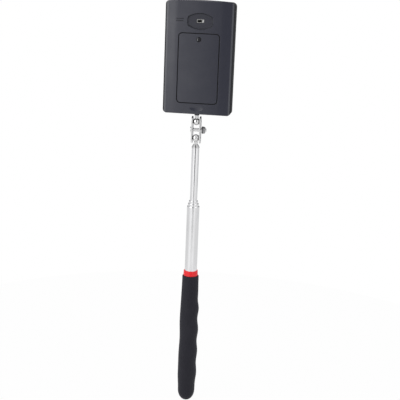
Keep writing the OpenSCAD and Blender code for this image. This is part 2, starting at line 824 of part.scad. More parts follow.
// Switch: a metal can whose nose stands in the window, with a shallow slot for its knob
slot_end = 0.15;
slot_side = 0.1;
slot_w = knob_w + knob_travel + 2 * slot_end;
slot_h = knob_h + 2 * slot_side;
slot_deep = 0.45;
knob_proud = 0.3;
knob_float = 0.05;
nose_gap = 0.2;
nose_sink = 0.25;
nose_y = back_y + well_depth + nose_sink;
slot_floor_y = nose_y + slot_deep;

module switch_can() {
  color(steel) translate([0, 0, head_z]) difference() {
    union() {
      box(can_w, can_back_y, board_back_y, switch_z - can_h / 2, switch_z + can_h / 2, well_side);
      box(window_w - 2 * nose_gap, nose_y, can_back_y + touch, switch_z - window_h / 2 + nose_gap,
        switch_z + window_h / 2 - nose_gap, well_side);
    }
    box(slot_w, nose_y - over, slot_floor_y, switch_z - slot_h / 2, switch_z + slot_h / 2, well_side);
  }
}

module switch_knob() {
  color(rubber_black) translate([0, 0, head_z])
    box(knob_w, back_y + well_depth - knob_proud, slot_floor_y - knob_float, switch_z - knob_h / 2,
      switch_z + knob_h / 2, well_side - knob_travel / 2);
}

// Lamp: a flange on the board, a round body and a domed lens that stays inside its hole
module led(side) {
  flange = 0.8;
  flange_over = 0.3;
  sunk = 0.3;
  tip = front_y - board_front_y - sunk;
  dome_r = led_d / 2;
  color(clear) translate([side * led_x, board_front_y, head_z + led_z]) rotate([-90, 0, 0]) {
    cylinder(r = dome_r + flange_over, h = flange);
    cylinder(r = dome_r, h = tip - dome_r);
    translate([0, 0, tip - dome_r]) sphere(r = dome_r);
  }
}

module left_led() led(-1);

module right_led() led(1);

// Coin cell: a can with a slightly smaller cap on one face
module cell(z, cap_side) {
  cap = 0.3;
  cap_inset = 1.2;
  r = cell_d / 2;
  can_from = cap_side < 0 ? cell_back_y + cap : cell_back_y;
  cap_from = cap_side < 0 ? cell_back_y : cell_front_y - cap - touch;
  color(steel) translate([0, 0, head_z]) {
    rod_y(r, can_from, can_from + cell_t - cap, 0, z);
    rod_y(r - cap_inset, cap_from, cap_from + cap + touch, 0, z);
  }
}

module upper_cell() cell(upper_cell_z, 1);

module lower_cell() cell(lower_cell_z, -1);

// Strip on the tray's floor that joins the two cells
module cell_bridge() {
  strip_w = 8;
  reach = 5;
  color(brass) translate([0, 0, head_z])
    box(strip_w, cell_front_y, tray_floor_y, lower_cell_z - reach, upper_cell_z + reach);
}

// Strip up the tray's right wall, with an arm behind the upper cell
module positive_contact() {
  strip_x = pocket_w / 2 - strip_t / 2 - strip_room;
  cover = 4;
  arm = pocket_w / 2 - cell_d / 2 + cover;
  color(brass) translate([0, 0, head_z]) {
    box(strip_t, wall_in_y + touch, board_back_y, upper_cell_z - arm_half, board_z + strip_up, strip_x);
    box(arm, wall_in_y + touch, cell_back_y, upper_cell_z - arm_half, upper_cell_z + arm_half,
      strip_x + strip_t / 2 - arm / 2);
  }
}

// Strip up the tray's left wall, with an arm behind the lower cell
module negative_contact() {
  strip_x = -pocket_w / 2 + strip_t / 2 + strip_room;
  cover = 6;
  arm = pocket_w / 2 - cell_d / 2 + cover;
  color(brass) translate([0, 0, head_z]) {
    box(strip_t, wall_in_y + touch, board_back_y, lower_cell_z - arm_half, board_z + strip_up, strip_x);
    box(arm, wall_in_y + touch, cell_back_y, lower_cell_z - arm_half, lower_cell_z + arm_half,
      strip_x - strip_t / 2 + arm / 2);
  }
}

// Battery door: flush with the back, two tabs under its lower edge and one screw near its upper edge
door_sink = 0.5;
door_head_t = 0.5;

module battery_door() {
  head_room = 0.15;
  color(black) translate([0, 0, head_z]) difference() {
    union() {
      intersection() {
        translate([0, 0, door_up]) prism_y(back_y, door_seat_y)
          round_rect(door_width, door_height, door_corner);
        linear_extrude(head_height) polygon(concat(
          back_curve(), [[-flat_half - crease_soft, door_seat_y], [flat_half + crease_soft, door_seat_y]]
        ));
      }
      for (side = [-1, 1])
        box(tab_w, door_seat_y - touch, door_seat_y + tab_t, door_up - tab_reach, door_up + tab_reach,
          side * tab_side);
    }
    rod_y(door_head_d / 2 + head_room, back_y - over, back_y + door_sink + door_head_t, 0, door_screw_z);
    rod_y(door_screw_d / 2 + screw_room, back_y, door_seat_y + over, 0, door_screw_z);
  }
}

// Door screw: a cross-slotted head with a rounded edge, sunk in the door
module door_screw() {
  head_y = back_y + door_sink;
  head_r = door_head_d / 2;
  round = 0.3;
  cross_w = 0.5;
  cross_share = 0.62;
  cross_deep = 0.35;
  color(steel) translate([0, 0, head_z]) difference() {
    union() {
      translate([0, head_y, door_screw_z]) rotate([-90, 0, 0]) rotate_extrude() polygon(concat(
        [[0, 0]], arc(head_r - round, round, round, -90, 0, 4), [[head_r, door_head_t], [0, door_head_t]]
      ));
      rod_y(door_screw_d / 2, head_y, back_y + door_head_t + door_screw_length, 0, door_screw_z);
    }
    for (turn = [0, 90]) translate([0, 0, door_screw_z]) rotate([0, turn, 0])
      box(door_head_d * cross_share, back_y - over, head_y + cross_deep, -cross_w / 2, cross_w / 2);
  }
}

grip();
collar();
outer_tube();
second_tube();
second_bush();
third_tube();
third_bush();
inner_tube();
inner_bush();
tip_ferrule();
lower_ball_stud();
lower_stud_clip();
left_clamp_plate();
right_clamp_plate();
clamp_screw();
clamp_washer();
thumb_nut();
upper_ball_stud();
upper_stud_clip();
back_shell();
front_bezel();
mirror_glass();
mirror_pad();
circuit_board();
switch_can();
switch_knob();
left_led();
right_led();
upper_cell();
lower_cell();
cell_bridge();
positive_contact();
negative_contact();
battery_door();
door_screw();
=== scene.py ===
import math

import bpy
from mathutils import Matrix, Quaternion, Vector


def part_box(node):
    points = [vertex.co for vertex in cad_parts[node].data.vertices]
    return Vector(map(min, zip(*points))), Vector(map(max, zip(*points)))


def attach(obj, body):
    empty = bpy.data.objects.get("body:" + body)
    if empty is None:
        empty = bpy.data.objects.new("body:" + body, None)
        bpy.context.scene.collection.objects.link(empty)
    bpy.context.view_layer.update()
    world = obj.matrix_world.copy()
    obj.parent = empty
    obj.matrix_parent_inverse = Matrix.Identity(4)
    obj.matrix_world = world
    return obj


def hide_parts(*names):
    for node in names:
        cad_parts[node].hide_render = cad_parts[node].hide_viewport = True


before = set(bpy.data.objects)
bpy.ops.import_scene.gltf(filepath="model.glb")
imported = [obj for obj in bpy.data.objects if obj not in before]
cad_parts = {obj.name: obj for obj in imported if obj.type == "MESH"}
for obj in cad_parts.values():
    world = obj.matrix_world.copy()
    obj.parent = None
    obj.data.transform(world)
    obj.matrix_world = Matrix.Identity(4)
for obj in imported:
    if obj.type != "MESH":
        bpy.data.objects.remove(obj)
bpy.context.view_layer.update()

# Camera: a long lens about 0.7 m from the tool, behind its head, a little above it and to its right.
# It is turned slightly about its own axis, so the shaft leans to the right in the frame.
look_height = 0.1630
look_right = 0.0049
camera_distance = 0.700
camera_azimuth = math.radians(8.0)
camera_elevation = math.radians(13.5)
camera_roll = math.radians(2.35)
rightwards = Vector((math.cos(camera_azimuth), math.sin(camera_azimuth), 0))
towards_camera = Vector((
    math.sin(camera_azimuth) * math.cos(camera_elevation),
    -math.cos(camera_azimuth) * math.cos(camera_elevation),
    math.sin(camera_elevation),
))
camera = bpy.data.objects.new("camera", bpy.data.cameras.new("camera"))
camera.data.sensor_width = 36
camera.data.lens = 83.51
camera.data.clip_start = 0.01
camera.data.clip_end = 50
camera.location = Vector((0, 0, look_height)) + rightwards * look_right + towards_camera * camera_distance
camera.rotation_mode = "QUATERNION"
camera.rotation_quaternion = (-towards_camera).to_track_quat("-Z", "Y") @ Quaternion((0, 0, 1), camera_roll)
bpy.context.collection.objects.link(camera)
bpy.context.scene.camera = camera
bpy.context.scene.view_settings.view_transform = "Standard"


# Studio: a white disc under the tool in a white room, with a soft lamp on each side and one above.
# Behind the camera the room is dark, which draws the chrome's middle line, with a bright strip to the
# left and pale panels low down. Its far end darkens upwards, which the mirror shows.
class Tone:
    """A value or colour on its way through a node tree. Arithmetic on values adds Math nodes."""

    def __init__(self, tree, socket=None):
        self.tree = tree
        self.socket = socket

    def node(self, kind, settings, sockets, out=0):
        made = self.tree.nodes.new(kind)
        for name, value in settings.items():
            setattr(made, name, value)
        for key, value in sockets.items():
            if isinstance(value, Tone):
                self.tree.links.new(value.socket, made.inputs[key])
            else:
                made.inputs[key].default_value = value
        return Tone(self.tree, made.outputs[out])

    def maths(self, operation, *values):
        return self.node("ShaderNodeMath", {"operation": operation}, dict(enumerate(values)))

    def vector(self, operation, *values, out=0):
        return self.node("ShaderNodeVectorMath", {"operation": operation}, dict(enumerate(values)), out)

    def dot(self, other):
        return self.vector("DOT_PRODUCT", self, other, out="Value")

    def between(self, low, high):
        steps = {"From Min": low, "From Max": high, "Value": self}
        return self.node("ShaderNodeMapRange", {"interpolation_type": "SMOOTHSTEP"}, steps)

    def mix(self, first, second):
        return self.node("ShaderNodeMix", {"data_type": "RGBA"}, {0: self, 6: first, 7: second}, 2)

    def larger(self, other):
        return self.maths("MAXIMUM", self, other)

    def __abs__(self):
        return self.maths("ABSOLUTE", self)

    def __add__(self, other):
        return self.maths("ADD", self, other)

    def __sub__(self, other):
        return self.maths("SUBTRACT", self, other)

    def __rsub__(self, other):
        return self.maths("SUBTRACT", other, self)

    def __mul__(self, other):
        return self.maths("MULTIPLY", self, other)

    __radd__ = __add__
    __rmul__ = __mul__


def around(value, middle, half, fade):
    """1 within half of middle, falling to 0 over fade."""
    return 1 - abs(value - middle).between(half, half + fade)


def grey(level, blue=0.0):
    """An opaque grey, made cooler by blue."""
    return (level, level, level + blue, 1)


def seen_directly(tree):
    """1 for what the camera sees straight, in metal or through glass, 0 for what only gives light."""
    camera_ray, glossy_ray, clear_ray = (
        Tone(tree).node("ShaderNodeLightPath", {}, {}, kind)
        for kind in ("Is Camera Ray", "Is Glossy Ray", "Is Transmission Ray"))
    return camera_ray.larger(glossy_ray.larger(clear_ray))


def end_tree(tree, kind, surface):
    tree.links.new(surface.socket, tree.nodes.new(kind).inputs["Surface"])


white = grey(1)
floor_radius = 0.33
floor_drop = 0.0003
floor_sides = 96
paper_scale = 900.0
paper_glow = 0.97
floor_turns = [math.tau * k / floor_sides for k in range(floor_sides)]
floor_rim = [(floor_radius * math.cos(a), floor_radius * math.sin(a), -floor_drop) for a in floor_turns]
floor_mesh = bpy.data.meshes.new("floor")
floor_mesh.from_pydata(floor_rim, [], [tuple(range(floor_sides))])
floor = bpy.data.objects.new("floor", floor_mesh)
bpy.context.collection.objects.link(floor)
sweep = bpy.data.materials.new("white_sweep")
sweep.use_nodes = True
sweep.node_tree.nodes.clear()
paper = Tone(sweep.node_tree)
paper_grain = paper.node("ShaderNodeTexNoise", {}, {"Scale": paper_scale, "Detail": 3.0}, "Fac")
paper_lit = paper.node("ShaderNodeBsdfDiffuse", {}, {"Color": paper_grain.mix(grey(0.86), grey(0.9))})
paper_bright = paper.node("ShaderNodeEmission", {}, {"Color": white, "Strength": 1.0})
paper_shown = seen_directly(sweep.node_tree) * paper_glow
end_tree(sweep.node_tree, "ShaderNodeOutputMaterial", paper.node(
    "ShaderNodeMixShader", {}, {0: paper_shown, 1: paper_lit, 2: paper_bright}))
floor_mesh.materials.append(sweep)

# Each panel's place to the right, half width and brightness. Places and heights in the room are
# shares of a unit direction, and a pair is where a change begins and ends.
panels = ((-0.64, 0.26, 0.85), (0.0, 0.6, 0.62), (0.50, 0.22, 0.45))
panel_core = 0.3
panel_top = (-0.235, -0.21)
panel_grey = grey(0.78)
panel_white = grey(1.02)
dark_half = 0.19
dark_fade = 0.13
dark_foot = (-0.248, -0.212)
dark_grey = grey(0.13, 0.01)
strip_at = -0.40
strip_half = 0.05
strip_fade = 0.09
strip_top = (-0.09, -0.03)
strip_white = grey(1.4)
far_lean = 0.35
far_rise = (-0.25, 0.10)
far_pale = grey(0.82, 0.01)
far_grey = grey(0.30, 0.01)
side_grey = grey(0.74, 0.01)
room_lamp = 0.72
world = bpy.data.worlds.new("studio")
bpy.context.scene.world = world
world.use_nodes = True
world.node_tree.nodes.clear()
room = Tone(world.node_tree)
direction = room.node("ShaderNodeTexCoord", {}, {}, "Generated")
sideways = direction.dot(rightwards)
camera_side = direction.dot(Vector((math.sin(camera_azimuth), -math.cos(camera_azimuth), 0)))
upwards = direction.dot((0, 0, 1))
near_end = camera_side.between(0.3, 0.6)
far_end = 1 - camera_side.between(-0.75, -0.45)
far_shade = (upwards + far_lean * sideways).between(*far_rise)
strip_light = around(sideways, strip_at, strip_half, strip_fade) * near_end
strip_light = strip_light * (1 - upwards.between(*strip_top))
panel_light = sum(
    level * around(sideways, middle, panel_core * half, half) * camera_side.between(0.1, 0.4)
    for middle, half, level in panels)
low_room = 1 - upwards.between(*panel_top)
dark_room = around(sideways, 0, dark_half, dark_fade) * near_end * upwards.between(*dark_foot)
room_light = camera_side.between(-0.1, 0.6).mix(side_grey, white)
room_light = far_end.mix(room_light, far_shade.mix(far_pale, far_grey))
room_light = strip_light.mix(room_light, strip_white)
room_light = low_room.mix(room_light, panel_light.mix(panel_grey, panel_white))
room_light = dark_room.mix(room_light, dark_grey)
room_shown = room.node("ShaderNodeLightPath", {}, {}, "Is Camera Ray").mix(room_light, white)
room_strength = room_lamp + (1 - room_lamp) * seen_directly(world.node_tree)
end_tree(world.node_tree, "ShaderNodeOutputWorld", room.node(
    "ShaderNodeBackground", {}, {"Color": room_shown, "Strength": room_strength}))

lamp_aim = Vector((0, 0, 0.18))
for lamp_name, lamp_place, lamp_size, lamp_power in (
        ("left_softbox", Vector((-0.70, -0.75, 0.50)), 0.8, 3.75),
        ("right_softbox", Vector((0.95, -0.35, 0.55)), 0.6, 1.0),
        ("top_softbox", Vector((0.0, 0.05, 1.15)), 0.8, 2.4)):
    lamp = bpy.data.objects.new(lamp_name, bpy.data.lights.new(lamp_name, "AREA"))
    lamp.data.size = lamp_size
    lamp.data.energy = lamp_power
    lamp.location = lamp_place
    lamp.rotation_mode = "QUATERNION"
    lamp.rotation_quaternion = (lamp_aim - lamp_place).to_track_quat("-Z", "Y")
    bpy.context.collection.objects.link(lamp)


# Grip: a soft rubber sleeve moulded over the foot of the outer tube, with swells for four fingers
# on its right side, a slimmer upper end and a domed butt. Its skin has a fine matt grain, and is
# pebbled on the butt.
def new_finish(name, **constants):
    """A new material, the start of its node tree, the place on the surface, and its shader."""
    material = bpy.data.materials.new(name)
    material.use_nodes = True
    shader = material.node_tree.nodes["Principled BSDF"]
    for socket, value in constants.items():
        shader.inputs[socket.replace("_", " ")].default_value = value
    base = Tone(material.node_tree)
    return material, base, base.node("ShaderNodeTexCoord", {}, {}, "Object"), shader


def feed(shader, **tones):
    for socket, tone in tones.items():
        tone.tree.links.new(tone.socket, shader.inputs[socket.replace("_", " ")])


def speckle(base, place, size, detail=2.0):
    settings = {"Vector": place, "Scale": 1 / size, "Detail": detail}
    return base.node("ShaderNodeTexNoise", {}, settings, "Fac")


def relief(base, height, depth, edge=0.0):
    """Bumps of the given depth, over edges rounded by edge."""
    sockets = {"Strength": 1.0, "Distance": depth, "Height": height}
    if edge:
        sockets["Normal"] = base.node("ShaderNodeBevel", {"samples": 8}, {"Radius": edge}, "Normal")
    return base.node("ShaderNodeBump", {}, sockets, "Normal")


def new_piece(name, points, faces, material, body, replaced, slot):
    mesh = bpy.data.meshes.new(name)
    mesh.from_pydata(points, [], faces)
    mesh.polygons.foreach_set("use_smooth", [True] * len(mesh.polygons))
    mesh.materials.append(material)
    piece = bpy.data.objects.new(name, mesh)
    bpy.context.collection.objects.link(piece)
    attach(piece, body)
    if replaced:
        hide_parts(replaced)
    return piece


def ease(t):
    t = min(max(t, 0.0), 1.0)
    return t * t * (3 - 2 * t)


grip_length = 0.1035
grip_radius = 0.00715
grip_taper = 0.00085
taper_from = 0.6
grip_butt = 0.0006
butt_from = 0.022
grip_dome = 0.009
dome_power = 2.2
grip_floor = 0.010
grip_bore = 0.0047
lip_round = 0.0009
finger_count = 4
finger_pitch = 0.0178
finger_first = 0.0267
finger_depth = 0.001
finger_fade = 0.5
palm_hollow = 0.00045
palm_z = 0.0525
palm_half = 0.015
grip_sides = 96
grip_rings = 220
lip_rings = 8
dome_rings = 24
dome_crowding = 1.6
scuff_size = 0.012
grain_size = 0.00045
pebble_size = 0.0011
pebbled_to = 0.008
smooth_from = 0.013
rubber_depth = 0.00012
rubber_black = (0.0205, 0.0201, 0.0270, 1)
rubber_scuffed = (0.0295, 0.0290, 0.0372, 1)


def grip_level(ring):
    if ring < dome_rings:
        return grip_dome * (ring / dome_rings) ** dome_crowding
    if ring > grip_rings - lip_rings:
        turn = math.pi / 2 * (ring - grip_rings + lip_rings) / lip_rings
        return grip_length - lip_round * (1 - math.sin(turn))
    straight = (ring - dome_rings) / (grip_rings - lip_rings - dome_rings)
    return grip_dome + (grip_length - lip_round - grip_dome) * straight


def grip_reach(z, angle):
    down = grip_length - z - finger_first
    span = (finger_count - 0.5) * finger_pitch
    fade = ease((down + finger_first) / finger_first) ** 3 * ease((span - down) / finger_pitch + 0.5)
    wave = math.cos(math.tau * down / finger_pitch) * finger_depth / 2
    swell = fade * (1 - finger_fade * max(down, 0) / span) * wave
    right = ((1 + math.cos(angle)) / 2) ** 2
    left = ((1 - math.cos(angle)) / 2) ** 2
    hollow = palm_hollow * ease(1 - abs(z - palm_z) / palm_half)
    dome = 1 if z >= grip_dome else math.sqrt(1 - (1 - z / grip_dome) ** dome_power)
    slim = grip_taper * ease((z - taper_from * grip_length) / ((1 - taper_from) * grip_length))
    slim += grip_butt * ease((butt_from - z) / (butt_from - grip_dome))
    up_lip = min(max((z - grip_length + lip_round) / lip_round, 0.0), 1.0)
    lip = lip_round * (1 - math.sqrt(1 - up_lip * up_lip))
    return dome * (grip_radius - slim + right * swell - left * hollow) - lip


grip_turns = [math.tau * k / grip_sides for k in range(grip_sides)]
grip_points = [
    (grip_reach(z, a) * math.cos(a), grip_reach(z, a) * math.sin(a), z)
    for z in map(grip_level, range(1, grip_rings + 1)) for a in grip_turns]
for z in (grip_length, grip_floor):
    grip_points += [(grip_bore * math.cos(a), grip_bore * math.sin(a), z) for a in grip_turns]
grip_faces = [
    (ring * grip_sides + k, ring * grip_sides + (k + 1) % grip_sides,
     (ring + 1) * grip_sides + (k + 1) % grip_sides, (ring + 1) * grip_sides + k)
    for ring in range(grip_rings + 1) for k in range(grip_sides)]
butt, pit = len(grip_points), len(grip_points) + 1
grip_points += [(0, 0, 0), (0, 0, grip_floor)]
last_ring = (grip_rings + 1) * grip_sides
grip_faces += [(butt, (k + 1) % grip_sides, k) for k in range(grip_sides)]
grip_faces += [(pit, last_ring + k, last_ring + (k + 1) % grip_sides) for k in range(grip_sides)]
rubber, base, place, shader = new_finish("soft_rubber", Specular_IOR_Level=0.14)
scuff = speckle(base, place, scuff_size, 4.0).between(0.42, 0.75)
grain = speckle(base, place, grain_size, 3.0)
pebble_sockets = {"Vector": place, "Scale": 1 / pebble_size, "Smoothness": 0.4}
pebble = base.node("ShaderNodeTexVoronoi", {"feature": "SMOOTH_F1"}, pebble_sockets, "Distance")
height = base.node("ShaderNodeSeparateXYZ", {}, {"Vector": place}, "Z")
pebbled = 1 - height.between(pebbled_to, smooth_from)
feed(
    shader,
    Base_Color=(0.6 * scuff + 0.4 * grain).mix(rubber_black, rubber_scuffed),
    Roughness=0.52 + 0.10 * scuff + 0.08 * grain,
    Normal=relief(base, 0.35 * grain + pebbled * pebble, rubber_depth))
new_piece("grip_sleeve", grip_points, grip_faces, rubber, "handle", "grip", "soft_grip")


# Collar: a red plastic ring glued round the outer tube where the grip ends.
# Turned and polished, with its edges rounded over.
def dress(material, *nodes):
    for name in nodes:
        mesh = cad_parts[name].data
        mesh.materials.clear()
        mesh.materials.append(material)


streak_size = 0.004
polish_size = 0.0006
polish_depth = 0.00001
collar_red = (0.94, 0.014, 0.020, 1)
collar_pale = (0.98, 0.020, 0.026, 1)
red_plastic, base, place, shader = new_finish("red_plastic", IOR=1.49)
streak = speckle(base, place, streak_size, 3.0)
feed(
    shader,
    Base_Color=streak.mix(collar_red, collar_pale),
    Roughness=0.24 + 0.16 * streak,
    Normal=relief(base, speckle(base, place, polish_size), polish_depth))
dress(red_plastic, "collar")

# Shaft: four drawn steel tubes that slide into each other, chromed, the outer three with their mouths
# rolled in. The outermost is slightly duller than the rest. Drawing leaves fine lines along them.
line_width = 0.0003
line_squeeze = (1, 1, 0.012)
line_depth = 0.000002
smudge_size = 0.009
chrome_blue = 0.01
for finish_name, bright, dull, roughness, tubes in (
        ("satin_chrome", 0.83, 0.78, 0.11, ("outer_tube",)),
        ("bright_chrome", 0.84, 0.78, 0.10, ("second_tube", "third_tube", "inner_tube"))):
    chrome, base, place, shader = new_finish(finish_name, Metallic=1.0)
    lines = speckle(base, place.vector("MULTIPLY", place, line_squeeze), line_width)
    smudge = speckle(base, place, smudge_size, 4.0).between(0.4, 0.8)
    feed(
        shader,
        Base_Color=smudge.mix(grey(bright, chrome_blue), grey(dull, chrome_blue)),
        Roughness=roughness + 0.05 * lines + 0.06 * smudge,
        Normal=relief(base, lines, line_depth))
    dress(chrome, *tubes)

# Bushes and contacts: thin brass. The bushes are turned sleeves pressed round the feet of the sliding
# tubes and dulled by grease, and the contacts in the head are bent from spring strip.
tarnish_size = 0.002
tarnish_depth = 0.000008
brass_edge = 0.00006
brass_bright = (0.72, 0.52, 0.22, 1)
brass_dull = (0.55, 0.38, 0.15, 1)
brass, base, place, shader = new_finish("brass", Metallic=1.0)
tarnish = speckle(base, place, tarnish_size, 4.0)
feed(
    shader,
    Base_Color=tarnish.mix(brass_bright, brass_dull),
    Roughness=0.22 + 0.25 * tarnish,
    Normal=relief(base, tarnish, tarnish_depth, brass_edge))
dress(brass, "second_bush", "third_bush", "inner_bush")
dress(brass, "cell_bridge", "positive_contact", "negative_contact")

# Swivel: turned and nickelled steel. The ferrule plugs the inner tube, a ball stud turns in it,
# two pressed plates hold both balls, and the upper stud turns in the head. The balls are painted dark
# as shade where they sit in the plates' dimples, and are rougher there.
# The painted shade on the balls: where it begins and ends out from the middle, and its colour.
dimple_shade_from = 0.0013
dimple_shade_to = 0.0022
dimple_shade_black = (0.055, 0.052, 0.050, 1)
rub_size = 0.0012
plating_size = 0.00025
plating_depth = 0.000004
nickel_edge = 0.00012
clamp_pieces = ("left_clamp_plate", "right_clamp_plate", "clamp_screw", "clamp_washer")
for finish_name, bright, dull, dimple_shaded, pieces in (
        ("nickel", 0.80, 0.66, False, clamp_pieces),
        ("dull_nickel", 0.66, 0.50, False, ("tip_ferrule",)),
        ("dimple_shaded_nickel", 0.80, 0.66, True, ("lower_ball_stud", "upper_ball_stud"))):
    nickel, base, place, shader = new_finish(finish_name, Metallic=1.0)
    rub = speckle(base, place, rub_size, 4.0)
    colour = rub.mix(grey(bright), grey(dull))
    roughness = 0.10 + 0.16 * rub
    if dimple_shaded:
        # Painted shade: a dark band on each ball where it sits between the plates' dimples.
        dimple_shade = abs(place.dot((1, 0, 0))).between(dimple_shade_from, dimple_shade_to)
        colour = dimple_shade.mix(colour, dimple_shade_black)
        roughness = roughness + 0.12 * dimple_shade
    feed(
        shader,
        Base_Color=colour,
        Roughness=roughness,
        Normal=relief(base, speckle(base, place, plating_size), plating_depth, nickel_edge))
    dress(nickel, *pieces)

# Nut, clips and door screw: blackened steel. The knurled nut draws the plates together and its knurl
# is paler than its flange, and an open spring clip keeps each stud in its bore. The small screw holds
# the door, and a painted highlight makes one side of its head paler, like a glint.
nut_flange = 0.0008
flange_fade = 0.0003
# Width of the painted highlight on the door screw's head.
glint_width = 0.0010
wear_size = 0.0008
blacking_size = 0.0002
blacking_depth = 0.000008
steel_edge = 0.0001
knurl_grey = grey(0.30, 0.01)
knurl_bright = grey(0.50)
# Colours of the painted highlight on the door screw.
glint_grey = grey(0.26, 0.01)
glint_bright = grey(0.36)
for finish_name, dark, pale, pieces in (
        ("black_steel", 0.12, 0.32, ("lower_stud_clip", "upper_stud_clip")),
        ("worn_steel", 0.10, 0.30, ("thumb_nut",)),
        ("black_oxide", 0.020, 0.09, ("door_screw",))):
    blackened, base, place, shader = new_finish(finish_name, Metallic=1.0)
    worn = speckle(base, place, wear_size, 4.0).between(0.45, 0.8)
    colour = worn.mix(grey(dark, 0.005), grey(pale))
    if finish_name == "worn_steel":
        flange_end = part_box("thumb_nut")[0][0] + nut_flange
        # The knurled part beyond the flange is coloured paler than the flange.
        past_flange = place.dot((1, 0, 0)).between(flange_end, flange_end + flange_fade)
        colour = past_flange.mix(colour, worn.mix(knurl_grey, knurl_bright))
    if finish_name == "black_oxide":
        head_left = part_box("door_screw")[0][0]
        # Painted highlight: the left side of the screw's head is paler, like a glint.
        glint = 1 - place.dot((1, 0, 0)).between(head_left + 0.5 * glint_width, head_left + glint_width)
        colour = glint.mix(colour, worn.mix(glint_grey, glint_bright))
    feed(
        shader,
        Base_Color=colour,
        Roughness=0.42 - 0.12 * worn,
        Normal=relief(base, speckle(base, place, blacking_size), blacking_depth, steel_edge))
    dress(blackened, *pieces)

# Head shells and battery door: black plastic mouldings with a fine spark-eroded skin, slightly
# polished by handling. A painted highlight runs along the back's long edges inside a rim of painted
# shade, steep walls are rougher and painted dark as shade, and painted shade fills the door's gap and the
# well's floor.
door_half_width = 0.0146
door_half_height = 0.0249
door_round = 0.0010
door_gap = 0.00065
gap_depth = 0.0012
well_half_width = 0.0097
# Width of the painted highlight along the back's long edges.
edge_highlight_width = 0.0024
rim_width = 0.0012
skin_size = 0.00022
skin_depth = 0.000010
skin_edge = 0.00022
handled_size = 0.014
plastic_black = (0.0335, 0.0350, 0.0505, 1)
plastic_handled = (0.0395, 0.0410, 0.0565, 1)
# Painted shade for the floor of the switch's well.
plastic_well_shade = (0.0260, 0.0270, 0.0400, 1)
# Painted shade for steep walls, the door's gap and the rim.
plastic_shade = (0.010, 0.010, 0.013, 1)
# Painted highlight for the back's long edges.
plastic_edge_highlight = (0.092, 0.094, 0.108, 1)
black_plastic, base, place, shader = new_finish("black_plastic", IOR=1.5)
skin = speckle(base, place, skin_size)
handled = speckle(base, place, handled_size, 4.0).between(0.38, 0.72)
door_low, door_high = (Vector(corner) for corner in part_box("battery_door"))
door_back = Vector((0, door_low.y, door_high.z - door_half_height))
from_door = place.vector("SUBTRACT", place, door_back)
from_door = from_door.vector("ABSOLUTE", from_door)
past_side = from_door.dot((1, 0, 0)) - door_half_width
past_end = from_door.dot((0, 0, 1)) - door_half_height
past_door = past_side.larger(past_end)
depth = from_door.dot((0, 1, 0))
shallow = 1 - depth.between(1.1 * gap_depth, 1.3 * gap_depth)
door_edge = past_door.between(-1.1 * door_round, -0.9 * door_round)
door_edge = door_edge * (1 - past_door.between(door_gap, 1.5 * door_gap))
# Painted shade: the walls and floor of the gap round the door are coloured dark.
gap_shade = door_edge * depth.between(0.26 * gap_depth, 0.45 * gap_depth) * shallow
outwards = abs(place.dot((1, 0, 0)))
# Painted shade: the floor of the switch's well is coloured darker.
well_floor_shade = depth.between(0.75 * gap_depth, 0.95 * gap_depth) * shallow
well_floor_shade = well_floor_shade * (1 - outwards.between(well_half_width, 1.03 * well_half_width))
backwards = base.node("ShaderNodeTexCoord", {}, {}, "Normal").dot((0, -1, 0))
steep = 1 - abs(backwards).between(0.35, 0.75)
to_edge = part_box("back_shell")[1][0] - outwards
# A rim of painted shade along the outermost part of the back's long edges.
rim = (1 - to_edge.between(0.7 * rim_width, 1.1 * rim_width)) * backwards.between(0.0, 0.2)
# Painted highlight: a paler colour along the rounded long edges of the back, where they would catch the
# light.
edge_highlight = (1 - to_edge.between(0.85 * edge_highlight_width, edge_highlight_width)) * backwards.between(0.62, 0.80) * (1 - rim)
# Steep walls, the door's gap and the rim are rougher, and also painted dark as shade.
dull = steep.larger(gap_shade.larger(rim))
moulded = well_floor_shade.mix(handled.mix(plastic_black, plastic_handled), plastic_well_shade)
feed(
    shader,
    Base_Color=edge_highlight.mix(dull.mix(moulded, plastic_shade), plastic_edge_highlight),
    Roughness=0.23 - 0.04 * handled + 0.04 * skin + 0.60 * dull,
    Normal=relief(base, skin, skin_depth, skin_edge))
dress(black_plastic, "back_shell", "front_bezel", "battery_door")

# Switch: a small slide switch soldered to the board. A folded tin can shows in the window,
# and its black nylon knob slides across in a slot.
crease_size = 0.0015
crease_depth = 0.00001
can_edge = 0.00008
tin_bright = (0.56, 0.56, 0.55, 1)
tin_dull = (0.44, 0.44, 0.43, 1)
tin, base, place, shader = new_finish("switch_tin", Metallic=1.0)
crease = speckle(base, place, crease_size, 3.0)
feed(
    shader,
    Base_Color=crease.mix(tin_bright, tin_dull),
    Roughness=0.24 + 0.2 * crease,
    Normal=relief(base, crease, crease_depth, can_edge))
dress(tin, "switch_can")
nylon_grain_size = 0.0003
nylon_depth = 0.00002
knob_edge = 0.00012
nylon_black = grey(0.004, 0.001)
nylon_pale = grey(0.008, 0.001)
nylon, base, place, shader = new_finish("black_nylon", Specular_IOR_Level=0.05)
nylon_grain = speckle(base, place, nylon_grain_size, 3.0)
feed(
    shader,
    Base_Color=nylon_grain.mix(nylon_black, nylon_pale),
    Roughness=0.45 + 0.15 * nylon_grain,
    Normal=relief(base, nylon_grain, nylon_depth, knob_edge))
dress(nylon, "switch_knob")

